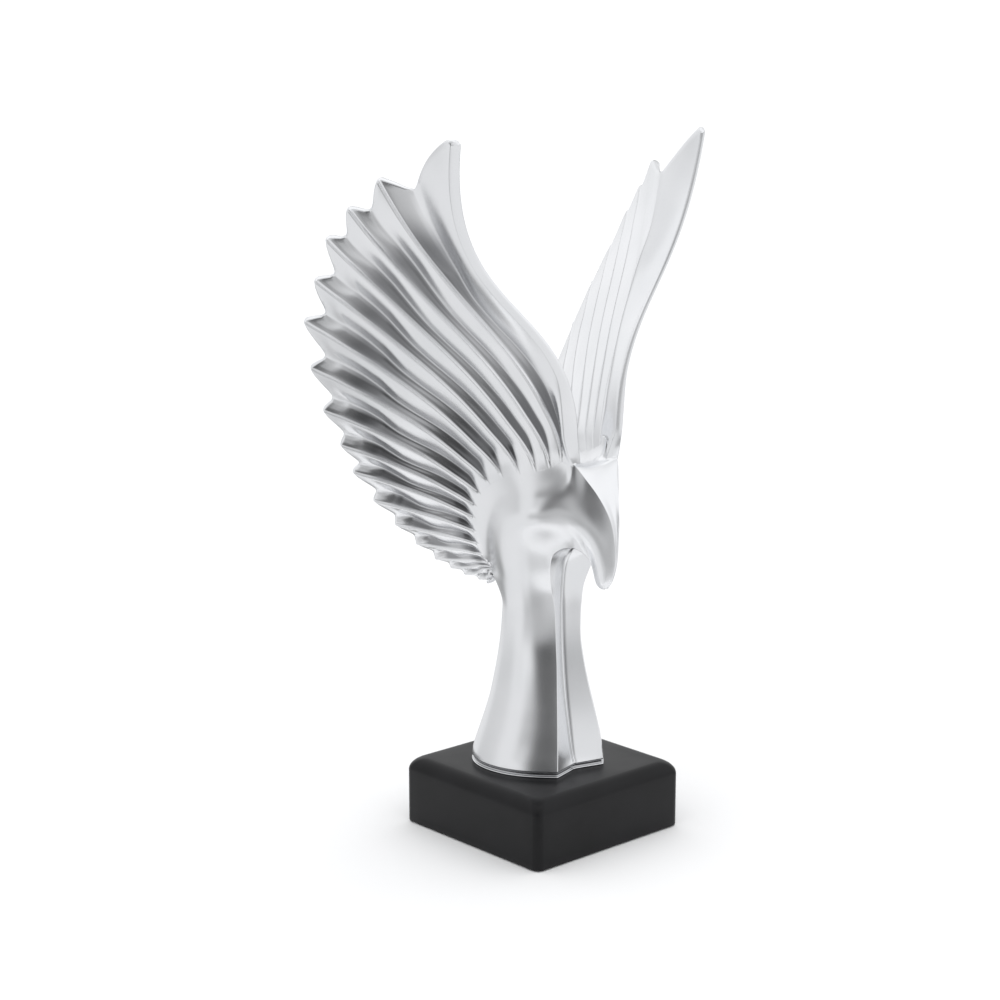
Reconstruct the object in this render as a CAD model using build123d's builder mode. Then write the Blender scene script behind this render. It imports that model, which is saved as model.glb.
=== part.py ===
from build123d import *
import math
import os

# Figure trophy: a silver cast eagle, wings raised, on a square black block.
# Millimetres. Origin at the centre of the underside, +Z up, the eagle faces -Y.
# Sections of the figure are given for the +X half and mirrored across the YZ plane.

# ---- driving dimensions -------------------------------------------------------------

BASE_SIDE = 100.0
BASE_TOP = 35.3
BASE_EDGE_RADIUS = 7.0        # softened top edges
BASE_CORNER_RADIUS = 4.2      # upright edges
BASE_FOOT_CHAMFER = 0.8

PAD_SIDE = 88.0
PAD_THICKNESS = 1.5
PAD_PROUD = 0.4               # how far the pad stands below the block
PAD_CORNER_RADIUS = 4.0

SCREW_DIAMETER = 6.0
SCREW_CLEARANCE_HOLE = 6.6
SCREW_HEAD_DIAMETER = 10.0
SCREW_HEAD_HEIGHT = 6.0
SCREW_SOCKET = 5.0            # across flats
SCREW_GRIP_TOP = 46.0         # the screw's upper end, inside the insert
COUNTERBORE_DIAMETER = 20.0
COUNTERBORE_TOP = 12.0
WASHER_DIAMETER = 18.0
WASHER_THICKNESS = 1.6
INSERT_DIAMETER = 8.6
INSERT_LENGTH = 12.7
INSERT_BORE = 6.05

LOCATING_PIN_DIAMETER = 4.0
LOCATING_PIN_LENGTH = 16.0
LOCATING_PIN_SPACING = 36.0
PIN_FIT = 0.05                # radial glue gap round every dowel

WING_JOINT_X = 14.0           # flat butt face between a wing and the figure
WING_JOINT_Z = 124.0          # ledge that the wing's root stands on
WING_PIN_DIAMETER = 4.0
WING_PIN_LENGTH = 19.0
WING_PIN_PLACES = [(-9.0, 181.0), (8.0, 152.0)]    # Y, Z

FOOT_TOP = 38.6
FOOT_COVE_SHRINK = 0.97       # the shadow groove above the bead, as a share of the foot
FOOT_BEAD_HEIGHT = 0.8

# Column and shoulders: height, arris X, arris Y, throat Y, side X, side Y, back Y.
# The throat is the crease up the middle of the front, between the two arrises.
COLUMN_SECTIONS = [
    (38.6, 16.0, -28.5, -24.0, 33.5, 5.0, 37.0),
    (46.0, 15.2, -27.6, -21.4, 31.8, 4.5, 35.0),
    (60.0, 13.4, -25.8, -18.6, 27.5, 3.5, 30.8),
    (80.0, 10.4, -21.9, -15.6, 23.0, 2.7, 25.7),
    (101.0, 8.4, -18.8, -13.8, 20.2, 2.1, 22.1),
    (120.0, 8.5, -18.0, -13.5, 19.4, 1.8, 21.4),
    (134.0, 11.0, -17.2, -14.2, 20.8, 3.5, 25.0),
    (148.0, 13.7, -20.0, -19.0, 25.0, 5.5, 28.5),
    (164.0, 13.7, -24.0, -23.5, 28.0, 5.0, 28.5),
    (180.0, 13.5, -29.0, -28.8, 27.5, -1.0, 19.0),
    (195.0, 12.0, -33.5, -33.4, 20.0, -14.0, 3.0),
]
# Head and beak, from the tip back: crown X, Y, Z, cheek edge X, Y, Z, widest X.
# The crown corners are the two brow ridges that run together down the beak.
HEAD_SECTIONS = [
    (0.5, -46.4, 133.6, 0.5, -42.6, 133.3, 1.6),
    (0.7, -50.2, 138.4, 1.6, -38.9, 138.0, 4.0),
    (0.9, -52.2, 148.5, 2.6, -37.2, 146.4, 6.2),
    (1.7, -52.0, 159.0, 5.2, -33.4, 151.3, 10.0),
    (4.0, -49.8, 173.0, 8.5, -28.2, 152.8, 15.5),
    (9.6, -42.4, 187.6, 12.0, -22.6, 150.8, 21.5),
    (14.6, -36.5, 197.5, 14.2, -14.0, 148.0, 25.5),
    (13.0, -24.0, 197.0, 14.2, -4.0, 152.0, 25.0),
]

# Wing: the leading feather's own curve, and four guide curves that the other
# feathers start from, bend by and end on. Each runs from the leading edge to the tail.
FEATHER_COUNT = 18
FEATHER_CROWDING = 1.45       # how much closer the feathers sit towards the tail
LEADING_FEATHER = [(15, -37, 196), (5, -43, 279), (79, -14, 265), (81, -29, 352)]
ROOT_GUIDE = [(17, -31, 198), (24, -16, 183), (38, 35, 206), (26, 23, 133), (7, 27, 131)]
INNER_GUIDE = [(26, -24, 254), (53, 18, 230), (46, 43, 210), (38, 43, 136), (9, 33, 130)]
OUTER_GUIDE = [(66, -7, 268), (76, 37, 267), (60, 58, 218), (43, 57, 133), (0, 28, 125)]
TIP_GUIDE = [(95, 14, 338), (124, 64, 298), (94, 91, 223), (51, 85, 140), (4, 37, 122)]
FEATHER_STATIONS = [-0.08, 0.15, 0.4, 0.7, 0.9, 1.0]
LEADING_WEB_END = 0.65        # beyond this the leading feather narrows to its tip
FEATHER_WEB_END = 0.82        # the same for the other feathers
RUMP_FEATHERS = 5             # the last feathers also cross the figure's own back
ROOT_THICKNESS = 9.0
TIP_THICKNESS = 3.0
STEP_HEIGHT = 3.0             # how far each feather stands above the one before
TIP_WIDTH = 2.2


# ---- small helpers ------------------------------------------------------------------

def bezier_point(controls, t):
    """Point at t on the Bezier curve with these control points."""
    points = [Vector(*c) for c in controls]
    while len(points) > 1:
        points = [a + (b - a) * t for a, b in zip(points, points[1:])]
    return points[0]


def mirrored_copy(part):
    """The same piece on the other side of the YZ plane."""
    return mirror(part, about=Plane.YZ)


def finish(part, label):
    """Label a finished piece and write its STEP file."""
    part.label = label
    export_step(part, f"parts/{label}.step")


# ---- base ---------------------------------------------------------------------------

def make_base_block():
    """Square block with soft edges, a pad recess and a counterbored screw hole."""
    with BuildPart() as block:
        with BuildSketch(Plane.XY.offset(PAD_PROUD)):
            RectangleRounded(BASE_SIDE, BASE_SIDE, BASE_CORNER_RADIUS)
        extrude(amount=BASE_TOP - PAD_PROUD)
        fillet(block.faces().sort_by(Axis.Z)[-1].edges(), BASE_EDGE_RADIUS)
        chamfer(block.faces().sort_by(Axis.Z)[0].edges(), BASE_FOOT_CHAMFER)
        with BuildSketch(Plane.XY.offset(PAD_PROUD)):
            RectangleRounded(PAD_SIDE + 1.0, PAD_SIDE + 1.0, PAD_CORNER_RADIUS)
        extrude(amount=PAD_THICKNESS - PAD_PROUD, mode=Mode.SUBTRACT)
        with BuildSketch(Plane.XY.offset(PAD_PROUD)):
            Circle(COUNTERBORE_DIAMETER / 2)
        extrude(amount=COUNTERBORE_TOP - PAD_PROUD, mode=Mode.SUBTRACT)
        with BuildSketch(Plane.XY):
            Circle(SCREW_CLEARANCE_HOLE / 2)
        extrude(amount=BASE_TOP, mode=Mode.SUBTRACT)
        with BuildSketch(Plane.XY.offset(BASE_TOP - LOCATING_PIN_LENGTH / 2)):
            with GridLocations(LOCATING_PIN_SPACING, 0, 2, 1):
                Circle(LOCATING_PIN_DIAMETER / 2 + PIN_FIT)
        extrude(amount=LOCATING_PIN_LENGTH, mode=Mode.SUBTRACT)
    finish(block.part, "base_block")


def make_base_pad():
    """Thin protective pad, glued in the recess of the underside."""
    with BuildPart() as pad:
        with BuildSketch(Plane.XY):
            RectangleRounded(PAD_SIDE, PAD_SIDE, PAD_CORNER_RADIUS)
        extrude(amount=PAD_THICKNESS)
    finish(pad.part, "base_pad")


# ---- fixings ------------------------------------------------------------------------

def make_fixing_screw():
    """Socket head cap screw, head down, up through the block into the insert."""
    head_top = COUNTERBORE_TOP - WASHER_THICKNESS
    with BuildPart() as screw:
        with BuildSketch(Plane.XY.offset(head_top - SCREW_HEAD_HEIGHT)):
            Circle(SCREW_HEAD_DIAMETER / 2)
        extrude(amount=SCREW_HEAD_HEIGHT)
        chamfer(screw.faces().sort_by(Axis.Z)[0].edges(), 0.5)
        with BuildSketch(Plane.XY.offset(head_top)):
            Circle(SCREW_DIAMETER / 2)
        extrude(amount=SCREW_GRIP_TOP - head_top)
        chamfer(screw.faces().sort_by(Axis.Z)[-1].edges(), 0.8)
        with BuildSketch(Plane.XY.offset(head_top - SCREW_HEAD_HEIGHT)):
            RegularPolygon(SCREW_SOCKET / 2, 6, major_radius=False)
        extrude(amount=SCREW_HEAD_HEIGHT / 2, mode=Mode.SUBTRACT)
    finish(screw.part, "fixing_screw")


def make_fixing_washer():
    """Wide flat washer between the screw head and the block."""
    with BuildPart() as washer:
        with BuildSketch(Plane.XY.offset(COUNTERBORE_TOP - WASHER_THICKNESS)):
            Circle(WASHER_DIAMETER / 2)
            Circle(SCREW_DIAMETER / 2 + 0.2, mode=Mode.SUBTRACT)
        extrude(amount=WASHER_THICKNESS)
    finish(washer.part, "fixing_washer")


def make_foot_insert():
    """Threaded brass insert, flush with the underside of the foot."""
    with BuildPart() as insert:
        with BuildSketch(Plane.XY.offset(BASE_TOP)):
            Circle(INSERT_DIAMETER / 2)
            Circle(INSERT_BORE / 2, mode=Mode.SUBTRACT)
        extrude(amount=INSERT_LENGTH)
    finish(insert.part, "foot_insert")


def make_locating_pins():
    """Two dowels that stop the figure from turning on the block."""
    with BuildPart() as pins:
        with BuildSketch(Plane.XY.offset(BASE_TOP - LOCATING_PIN_LENGTH / 2 + 0.5)):
            with GridLocations(LOCATING_PIN_SPACING, 0, 2, 1):
                Circle(LOCATING_PIN_DIAMETER / 2)
        extrude(amount=LOCATING_PIN_LENGTH - 1.0)
    finish(pins.part, "locating_pins")


def wing_pin_solids(radius, x_start, length):
    """Cylinders along +X at the wing's dowel places."""
    with BuildPart() as pins:
        with BuildSketch(Plane.YZ.offset(x_start)):
            with Locations(*WING_PIN_PLACES):
                Circle(radius)
        extrude(amount=length)
    return pins.part


def make_wing_pins():
    """Steel dowels across each wing joint, half in the figure and half in the wing."""
    start = WING_JOINT_X - WING_PIN_LENGTH / 2
    left = wing_pin_solids(WING_PIN_DIAMETER / 2, start, WING_PIN_LENGTH)
    finish(left, "left_wing_pins")
    finish(mirrored_copy(left), "right_wing_pins")


# ---- figure -------------------------------------------------------------------------

def column_profile(section, share=1.0):
    """Horizontal outline: creased front, two arrises and a rounded back."""
    height = section[0]
    arris_x, arris_y, throat_y, side_x, side_y, back_y = [share * v for v in section[1:]]
    with BuildSketch(Plane.XY.offset(height)) as profile:
        with BuildLine():
            Line((0, throat_y), (arris_x, arris_y))
            Spline(
                (arris_x, arris_y),
                (side_x, side_y),
                (0, back_y),
                tangents=[(0.75, 0.66), (-1, 0)],
            )
            mirror(about=Plane.YZ)
        make_face()
    return profile.sketch


def head_profile(section):
    """Outline of the head across one plane that holds the crown and the cheek edge."""
    crown_x, crown_y, crown_z, cheek_x, cheek_y, cheek_z, widest_x = section
    depth = math.hypot(cheek_y - crown_y, cheek_z - crown_z)
    down = Vector(0, cheek_y - crown_y, cheek_z - crown_z).normalized()
    plane = Plane(
        origin=(0, crown_y, crown_z), x_dir=(1, 0, 0), z_dir=Vector(1, 0, 0).cross(down)
    )
    with BuildSketch(plane) as profile:
        with BuildLine():
            Line((0, 0), (crown_x, 0))
            Spline((crown_x, 0), (widest_x, depth * 0.6), (cheek_x, depth))
            Line((cheek_x, depth), (0, depth * 0.9))
            mirror(about=Plane.YZ)
        make_face()
    return profile.sketch


def whole_body():
    """Foot, column, torso and head as one form, before the wing seats are cut."""
    foot = COLUMN_SECTIONS[0]
    with BuildPart() as body:
        with BuildSketch(Plane.XY.offset(BASE_TOP)):
            add(column_profile((BASE_TOP,) + foot[1:]))
        extrude(amount=FOOT_BEAD_HEIGHT)
        groove_start = BASE_TOP + FOOT_BEAD_HEIGHT / 2
        with BuildSketch(Plane.XY.offset(groove_start)):
            add(column_profile((groove_start,) + foot[1:], share=FOOT_COVE_SHRINK))
        extrude(amount=FOOT_TOP + 1.0 - groove_start)
        for section in COLUMN_SECTIONS:
            add(column_profile(section))
        loft()
        for section in HEAD_SECTIONS:
            add(head_profile(section))
        loft()
    return body.part


def wing_seat_cutter():
    """Everything on the wing's side of the butt face and above the ledge."""
    size = 200.0
    with BuildPart() as cutter:
        with BuildSketch(Plane.XY.offset(WING_JOINT_Z)):
            with Locations((WING_JOINT_X + size / 2, 0)):
                Rectangle(size, 2 * size)
        extrude(amount=2 * size)
    return cutter.part


# ---- wings --------------------------------------------------------------------------

def feather_controls(index):
    """Control points of one feather's ridge, from the root to the tip."""
    if index == 0:
        return LEADING_FEATHER
    along = (index - 1) / (FEATHER_COUNT - 2)
    t = 1 - (1 - along) ** FEATHER_CROWDING
    return [bezier_point(g, t) for g in (ROOT_GUIDE, INNER_GUIDE, OUTER_GUIDE, TIP_GUIDE)]


def feather_profile(index, station):
    """Section of one feather: steep step to the ridge, broad face behind it, flat back."""
    here = bezier_point(feather_controls(index), station)
    tangent = (bezier_point(feather_controls(index), station + 0.01) - here).normalized()
    before = bezier_point(feather_controls(max(index - 1, 0)), station)
    after = bezier_point(feather_controls(min(index + 1, FEATHER_COUNT - 1)), station)
    towards_leading = before - after
    lead_gap = max((before - here).length, 1.2)
    tail_gap = max((after - here).length, 1.2)
    if index == 0:
        lead_gap = 5.0
    if index == FEATHER_COUNT - 1:
        tail_gap = 2.0
    narrowing = 1.0
    if index == 0 and station > LEADING_WEB_END:
        past = min(1.0, (station - LEADING_WEB_END) / (1 - LEADING_WEB_END))
        narrowing = math.sqrt(1 - past ** 2)
    if index > 0 and station > FEATHER_WEB_END:
        narrowing = (1 - station) / (1 - FEATHER_WEB_END)
    step = max(lead_gap * 0.45 * narrowing, TIP_WIDTH * 0.4)
    face = max(tail_gap * 0.75 * narrowing, TIP_WIDTH * 0.6)
    thickness = ROOT_THICKNESS + (TIP_THICKNESS - ROOT_THICKNESS) * station
    height = STEP_HEIGHT * min(1.0, 0.35 + 2 * station) * max(narrowing, 0.4)
    across = towards_leading - tangent * towards_leading.dot(tangent)
    plane = Plane(origin=here, x_dir=across, z_dir=tangent)
    with BuildSketch(plane) as profile:
        with BuildLine():
            Polyline(
                (0, 0),
                (step, -height),
                (step * 0.8, -thickness),
                (-face * 0.8, -thickness),
                (-face, -height),
                close=True,
            )
        make_face()
    return profile.sketch


def make_feather(index):
    """One feather, lofted along its ridge."""
    with BuildPart() as feather:
        for station in FEATHER_STATIONS:
            add(feather_profile(index, station))
        loft()
    return feather.part


def whole_wing(body):
    """The fan of feathers and the shoulder of the figure, beyond the butt face."""
    with BuildPart() as wing:
        add(body)
        for index in range(FEATHER_COUNT):
            add(make_feather(index))
        add(wing_seat_cutter(), mode=Mode.INTERSECT)
    return wing.part


def rump():
    """The last few feathers of both wings, where they cross the figure's own back."""
    with BuildPart() as feathers:
        for index in range(FEATHER_COUNT - RUMP_FEATHERS, FEATHER_COUNT):
            add(make_feather(index))
    return feathers.part


def make_figure():
    """The figure casting and its two wings, drilled for their dowels."""
    body = whole_body()
    seat = wing_seat_cutter()
    holes = wing_pin_solids(
        WING_PIN_DIAMETER / 2 + PIN_FIT,
        WING_JOINT_X - WING_PIN_LENGTH / 2 - 0.5,
        WING_PIN_LENGTH + 1.0,
    )
    with BuildPart() as figure:
        add(body)
        add(rump())
        add(mirrored_copy(rump()))
        add(seat, mode=Mode.SUBTRACT)
        add(mirrored_copy(seat), mode=Mode.SUBTRACT)
        add(holes, mode=Mode.SUBTRACT)
        add(mirrored_copy(holes), mode=Mode.SUBTRACT)
        with BuildSketch(Plane.XY.offset(BASE_TOP)):
            Circle(INSERT_DIAMETER / 2)
        extrude(amount=INSERT_LENGTH, mode=Mode.SUBTRACT)
        with BuildSketch(Plane.XY.offset(BASE_TOP)):
            with GridLocations(LOCATING_PIN_SPACING, 0, 2, 1):
                Circle(LOCATING_PIN_DIAMETER / 2 + PIN_FIT)
        extrude(amount=LOCATING_PIN_LENGTH / 2, mode=Mode.SUBTRACT)
    finish(figure.part, "figure_body")

    with BuildPart() as left:
        add(whole_wing(body))
        add(holes, mode=Mode.SUBTRACT)
    finish(left.part, "left_wing")
    finish(mirrored_copy(left.part), "right_wing")


os.makedirs("parts", exist_ok=True)
make_base_block()
make_base_pad()
make_fixing_screw()
make_fixing_washer()
make_foot_insert()
make_locating_pins()
make_wing_pins()
make_figure()
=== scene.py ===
import math

import bmesh
import bpy
import numpy as np
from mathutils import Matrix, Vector


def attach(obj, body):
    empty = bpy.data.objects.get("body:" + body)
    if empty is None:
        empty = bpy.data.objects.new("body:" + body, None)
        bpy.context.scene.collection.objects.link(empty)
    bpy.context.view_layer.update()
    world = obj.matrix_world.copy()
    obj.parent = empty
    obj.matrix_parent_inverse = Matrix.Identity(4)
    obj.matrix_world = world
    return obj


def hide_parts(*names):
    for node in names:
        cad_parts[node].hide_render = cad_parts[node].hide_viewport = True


# Figure trophy: silver cast eagle on a square black block. Sizes are in millimetres
# until a mesh is made; +Z up, the eagle faces -Y, forms are given for the +X half.

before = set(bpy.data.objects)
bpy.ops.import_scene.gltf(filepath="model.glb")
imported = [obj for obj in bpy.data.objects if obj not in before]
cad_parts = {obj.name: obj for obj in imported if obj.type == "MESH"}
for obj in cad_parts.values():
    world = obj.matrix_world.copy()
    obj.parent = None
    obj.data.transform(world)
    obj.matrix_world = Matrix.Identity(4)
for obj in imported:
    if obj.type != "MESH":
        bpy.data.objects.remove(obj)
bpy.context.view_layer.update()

MM = 0.001

# ---- curves of the wing ---------------------------------------------------------------

FEATHER_COUNT = 18
FEATHER_CROWDING = 1.45       # how much closer the feathers sit towards the tail
# the leading feather's own ridge, then the guides that the other feathers start from,
# bend by and end on, each from the leading edge to the tail
LEADING_FEATHER = [(15, -37, 196), (8, -42, 279), (79, -14, 265), (81, -29, 352)]
ROOT_GUIDE = [(17, -31, 198), (24, -16, 183), (38, 35, 206), (26, 23, 133), (7, 27, 131)]
INNER_GUIDE = [(26, -24, 254), (53, 18, 230), (46, 43, 210), (38, 43, 136), (9, 33, 130)]
OUTER_GUIDE = [(66, -7, 268), (76, 37, 267), (60, 58, 218), (43, 57, 133), (0, 28, 125)]
TIP_GUIDE = [(95, 14, 338), (124, 64, 298), (94, 91, 223), (51, 85, 140), (4, 37, 122)]
GUIDES = [ROOT_GUIDE, INNER_GUIDE, OUTER_GUIDE, TIP_GUIDE]
# where each feather's ridge lies on the guides; an evenly spaced fan would be 0, 1, 2...
RIDGE_PLACES = [0, 1, 1.87, 2.76, 3.8, 4.96, 6.15, 7.3, 8.3, 9.2, 10.25, 11.28, 12.3,
                13.35, 14.15, 14.95, 15.85, 17]
# length of each feather as a share of its guide, and of the notches between two tips
TIP_LENGTHS = [1.02, 0.995, 0.995, 1.0, 0.985, 1.01, 1.0, 0.995, 0.975, 1.0, 0.985, 0.97,
               0.96, 1.0, 1.0, 1.02, 0.99, 1.0]
NOTCH_LENGTH = 0.92
TIP_SOFTNESS = 2.5            # spread of the rounding of tips and notches
FRONT_CORNER = 0.013          # share of its length that rounds the leading feather's tip
RIM_REACH = 0.008             # share of a feather's length that is left for its round rim
RIDGE_BAND = 1.7              # width beside each ridge that holds its bead
LEADING_SHIFT = (5.7, 2.5, 0)  # from the inner to the outer edge of the leading band
WING_ROWS = 84
TIP_THICKNESS = 4.3
FEATHER_BEAD = 0.5            # height of the bead along each ridge
GROOVE_DEPTH = 5.0            # deepest valley between two ridges
INNER_SEAM = 0.45             # height of the lines on the inner side
ROOT_SINK = 12.0              # how far the inner skin starts inside the shoulder


def bezier(controls, t):
    """Points at t on a Bezier curve whose control points may be arrays."""
    points = [np.asarray(c, float) for c in controls]
    while len(points) > 1:
        points = [a + (b - a) * t for a, b in zip(points, points[1:])]
    return points[0]


def smoothstep(low, high, value):
    x = np.clip((value - low) / (high - low), 0.0, 1.0)
    return x * x * (3 - 2 * x)


def unit(vectors):
    return vectors / np.maximum(np.linalg.norm(vectors, axis=-1, keepdims=True), 1e-9)


def feather_controls(place):
    """Control points of the ridge curves at these places across the fan."""
    place = np.asarray(place, float)[..., None]
    along = np.clip((place - 1) / (FEATHER_COUNT - 2), 0, 1)
    t = 1 - (1 - along) ** FEATHER_CROWDING
    lead = np.clip(1 - place, 0, None)
    return [bezier(g, t) * (1 - lead) + np.asarray(c, float) * lead
            for g, c in zip(GUIDES, LEADING_FEATHER)]


def fan_point(place, s):
    """Point on the smooth sheet that the ridges lie on."""
    return bezier(feather_controls(place), np.asarray(s, float)[..., None])


def fan_directions(place, s):
    """Unit vectors along the feather, across towards the tail, and out of the sheet."""
    ahead = fan_point(place, s + 0.01) - fan_point(place, s - 0.01)
    side = np.where(place > 16.9, -0.05, 0.05)
    across = (fan_point(place + side, s) - fan_point(place, s)) * np.sign(side)[..., None]
    ahead = unit(ahead)
    across = unit(across - ahead * (across * ahead).sum(-1, keepdims=True))
    return ahead, across, unit(np.cross(across, ahead))


def root_direction(place):
    controls = feather_controls(place)
    return unit(controls[1] - controls[0])


def root_thickness(place):
    return 5.2 + 3.3 * smoothstep(0.0, 2.5, place) - 4.5 * smoothstep(11.0, 17.0, place)


# ---- body sections ----------------------------------------------------------------------
# Foot and column: height, arris X, arris Y, throat Y, side X, side Y, back Y.
COLUMN_ROWS = [
    (38.6, 16.0, -28.5, -24.0, 33.5, 5.0, 37.0),
    (42.0, 15.6, -28.1, -22.4, 32.9, 4.7, 36.4),
    (50.0, 14.8, -27.2, -20.4, 30.6, 4.2, 34.0),
    (60.0, 13.4, -25.6, -18.6, 27.6, 3.5, 30.8),
    (70.0, 11.9, -23.8, -16.9, 25.0, 3.0, 27.8),
    (81.0, 10.3, -21.8, -15.5, 22.9, 2.7, 25.5),
    (91.0, 9.1, -20.3, -14.6, 21.3, 2.4, 23.7),
    (101.0, 8.4, -18.9, -13.9, 20.3, 2.1, 22.2),
    (112.0, 8.3, -18.2, -13.6, 19.6, 1.9, 21.3),
    (121.0, 8.6, -17.9, -13.5, 19.4, 2.0, 21.6),
]
# Shoulders and forehead: throat Y Z, arris X Y Z, side X Y Z, place on the fan's root
# guide, middle of the far side Y Z. The sections swing round the arch under the head.
SHOULDER_ROWS = [
    (-14.3, 131, 10.4, -17.0, 131, 20.6, 3.0, 132, 14.6, 24.4, 131),
    (-15.3, 140, 12.8, -18.6, 140, 23.6, 5.0, 146, 12.4, 27.5, 142),
    (-18.0, 146, 13.7, -20.1, 147.8, 26.0, 4.5, 158, 9.8, 28.0, 157),
    (-20.9, 149.6, 14.0, -23.0, 150.8, 27.2, 0.0, 168, 7.2, 22.0, 173),
    (-23.2, 151.4, 13.6, -26.4, 153.0, 26.6, -8.0, 173, 5.0, 9.0, 183),
    (-25.6, 152.6, 13.2, -29.6, 154.3, 24.4, -16.5, 175, 3.7, -6.0, 187),
    (-28.0, 153.0, 12.2, -32.2, 154.7, 21.6, -24.0, 176, 2.2, -18.5, 189.5),
    (-30.2, 152.6, 10.8, -34.2, 154.2, 19.0, -30.0, 177, 0.9, -27.0, 192.5),
]
# Head and beak: the same, but with the brow ridge X Y Z in place of the fan.
HEAD_ROWS = [
    (-32.3, 151.6, 9.0, -35.2, 153.1, 16.8, -34.4, 175.2, 14.7, -37.0, 196.8, -33.6, 195.4),
    (-34.0, 149.9, 7.0, -35.8, 151.6, 14.2, -38.0, 171, 10.6, -41.3, 189.6, -40.2, 190.8),
    (-35.6, 147.2, 5.0, -36.6, 149.3, 11.2, -41.8, 165.5, 6.6, -46.4, 180.8, -47.0, 181.4),
    (-37.0, 143.6, 2.9, -37.2, 145.9, 8.1, -44.0, 158.5, 3.2, -50.6, 170.0, -51.3, 170.2),
    (-38.2, 139.8, 2.2, -38.3, 141.6, 5.6, -45.0, 150.5, 1.5, -52.1, 158.6, -52.7, 158.6),
    (-39.2, 136.6, 1.8, -39.4, 137.2, 3.9, -45.4, 143.0, 0.8, -51.9, 147.6, -52.2, 147.6),
    (-40.6, 134.4, 1.3, -40.8, 134.6, 2.7, -45.4, 137.2, 0.6, -49.4, 139.2, -49.6, 139.2),
    (-42.6, 133.5, 0.7, -42.7, 133.5, 1.5, -45.2, 134.0, 0.4, -46.8, 134.8, -46.9, 134.8),
]
BODY_ROWS_PER_SECTION = 9
TEMPLE_SWELL = 6.6            # how far the temple is pushed out
TEMPLE_WAY = np.array([0.69, -0.72, 0])
THROAT_BEAD = 0.7             # height of the bead up the throat
# painted shade, 0 to 1: a painted shadow inside the arch's edge, painted dark lines at the sides of
# the bead and painted shade in the foot's groove
ARCH_PAINTED_SHADE = 0.65
BEAD_PAINTED_SHADE = 0.5
FOOT_PAINTED_SHADE = (0, 0, 0, 0.3, 0.6, 0.6, 0.6, 0.3, 0)    # for each ring of the foot
SOFT_RINGS = 57               # ring points from the throat to the root of the wing
SIDE_BULGE = 0.37             # handle length of the side curves, as a share of a chord


def column_section(row):
    """One horizontal section as throat, arris, side, outer corner and back middle."""
    height = row[0]
    arris_x, arris_y, throat_y, side_x, side_y, back_y = row[1:]
    corner = (0.75 * side_x, side_y + 0.66 * (back_y - side_y), height)
    return [(0, throat_y, height), (arris_x, arris_y, height), (side_x, side_y, height),
            corner, (0, back_y, height)]


def shoulder_section(row):
    ty, tz, ax, ay, az, sx, sy, sz, place, oy, oz = row
    corner = tuple(fan_point(np.array(place), 0.0))
    return [(0, ty, tz), (ax, ay, az), (sx, sy, sz), corner, (0, oy, oz)]


def head_section(row):
    ty, tz, ax, ay, az, sx, sy, sz, bx, by, bz, oy, oz = row
    return [(0, ty, tz), (ax, ay, az), (sx, sy, sz), (bx, by, bz), (0, oy, oz)]


def catmull_rom(values, steps):
    """Rows interpolated smoothly between the given ones, with uneven spacing allowed."""
    values = np.asarray(values, float)
    flat = values.reshape(len(values), -1)
    gaps = np.linalg.norm(np.diff(flat, axis=0), axis=1) ** 0.5
    knots = np.concatenate([[0], np.cumsum(gaps)])
    slopes = np.empty_like(flat)
    for i in range(len(flat)):
        low, high = max(i - 1, 0), min(i + 1, len(flat) - 1)
        if low == i or high == i:
            slopes[i] = (flat[high] - flat[low]) / (knots[high] - knots[low])
        else:
            before = (flat[i] - flat[low]) / (knots[i] - knots[low])
            after = (flat[high] - flat[i]) / (knots[high] - knots[i])
            share = (knots[i] - knots[low]) / (knots[high] - knots[low])
            slopes[i] = before * (1 - share) + after * share
    rows = []
    for i in range(len(flat) - 1):
        width = knots[i + 1] - knots[i]
        last = i == len(flat) - 2
        for x in np.linspace(0, 1, steps + 1)[: steps + 1 if last else steps]:
            rows.append((2 * x**3 - 3 * x**2 + 1) * flat[i]
                        + (x**3 - 2 * x**2 + x) * width * slopes[i]
                        + (3 * x**2 - 2 * x**3) * flat[i + 1]
                        + (x**3 - x**2) * width * slopes[i + 1])
    return np.array(rows).reshape(-1, *values.shape[1:])


def swell(points):
    """Push the temple out, so that the shoulder turns the corner into the side of the head."""
    x, y, z = np.moveaxis(points, -1, 0)
    aside = 0.72 * x + 0.69 * y
    share = (smoothstep(-21.0, 9.0, aside) * (1 - smoothstep(10.0, 32.0, aside))
             * smoothstep(97, 172, z) * (1 - smoothstep(180, 205, z)) * smoothstep(2.0, 9.0, x))
    return points + share[..., None] * TEMPLE_SWELL * TEMPLE_WAY


def soften_rows(half):
    """Even out the shoulder and the temple from section to section."""
    count, width = half.shape[:2]
    index = np.arange(count)
    near = np.exp(-((index[:, None] - index[None]) / 7.0) ** 2)
    near /= near.sum(1, keepdims=True)
    even = np.einsum("ij,jkc->ikc", near, half)
    ring = np.arange(width)
    share = 1 - smoothstep(SOFT_RINGS - 9, SOFT_RINGS, ring)
    where = (smoothstep(first_held - 2, first_held + 2, row_index)
             * (1 - smoothstep(first_held + 9.0, first_held + 12.5, row_index)))
    blend = (where[:, None] * share[None])[..., None]
    return half * (1 - blend) + even * blend


# ---- meshes -----------------------------------------------------------------------------

def make_object(name, vertices, faces, painted_shade=None):
    """A mesh object from millimetre coordinates, with the painted shade of each point if any, kept
    as a point attribute.
    """
    mesh = bpy.data.meshes.new(name)
    mesh.from_pydata((np.asarray(vertices) * MM).tolist(), [], faces)
    # point attribute holding the painted shade of each point, read by the silver material
    layer = mesh.attributes.new("painted_shade", "FLOAT", "POINT")
    layer.data.foreach_set("value", np.zeros(len(vertices)) if painted_shade is None else painted_shade)
    mesh.validate()
    mesh.update()
    mesh.polygons.foreach_set("use_smooth", [True] * len(mesh.polygons))
    obj = bpy.data.objects.new(name, mesh)
    bpy.context.scene.collection.objects.link(obj)
    return obj


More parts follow.
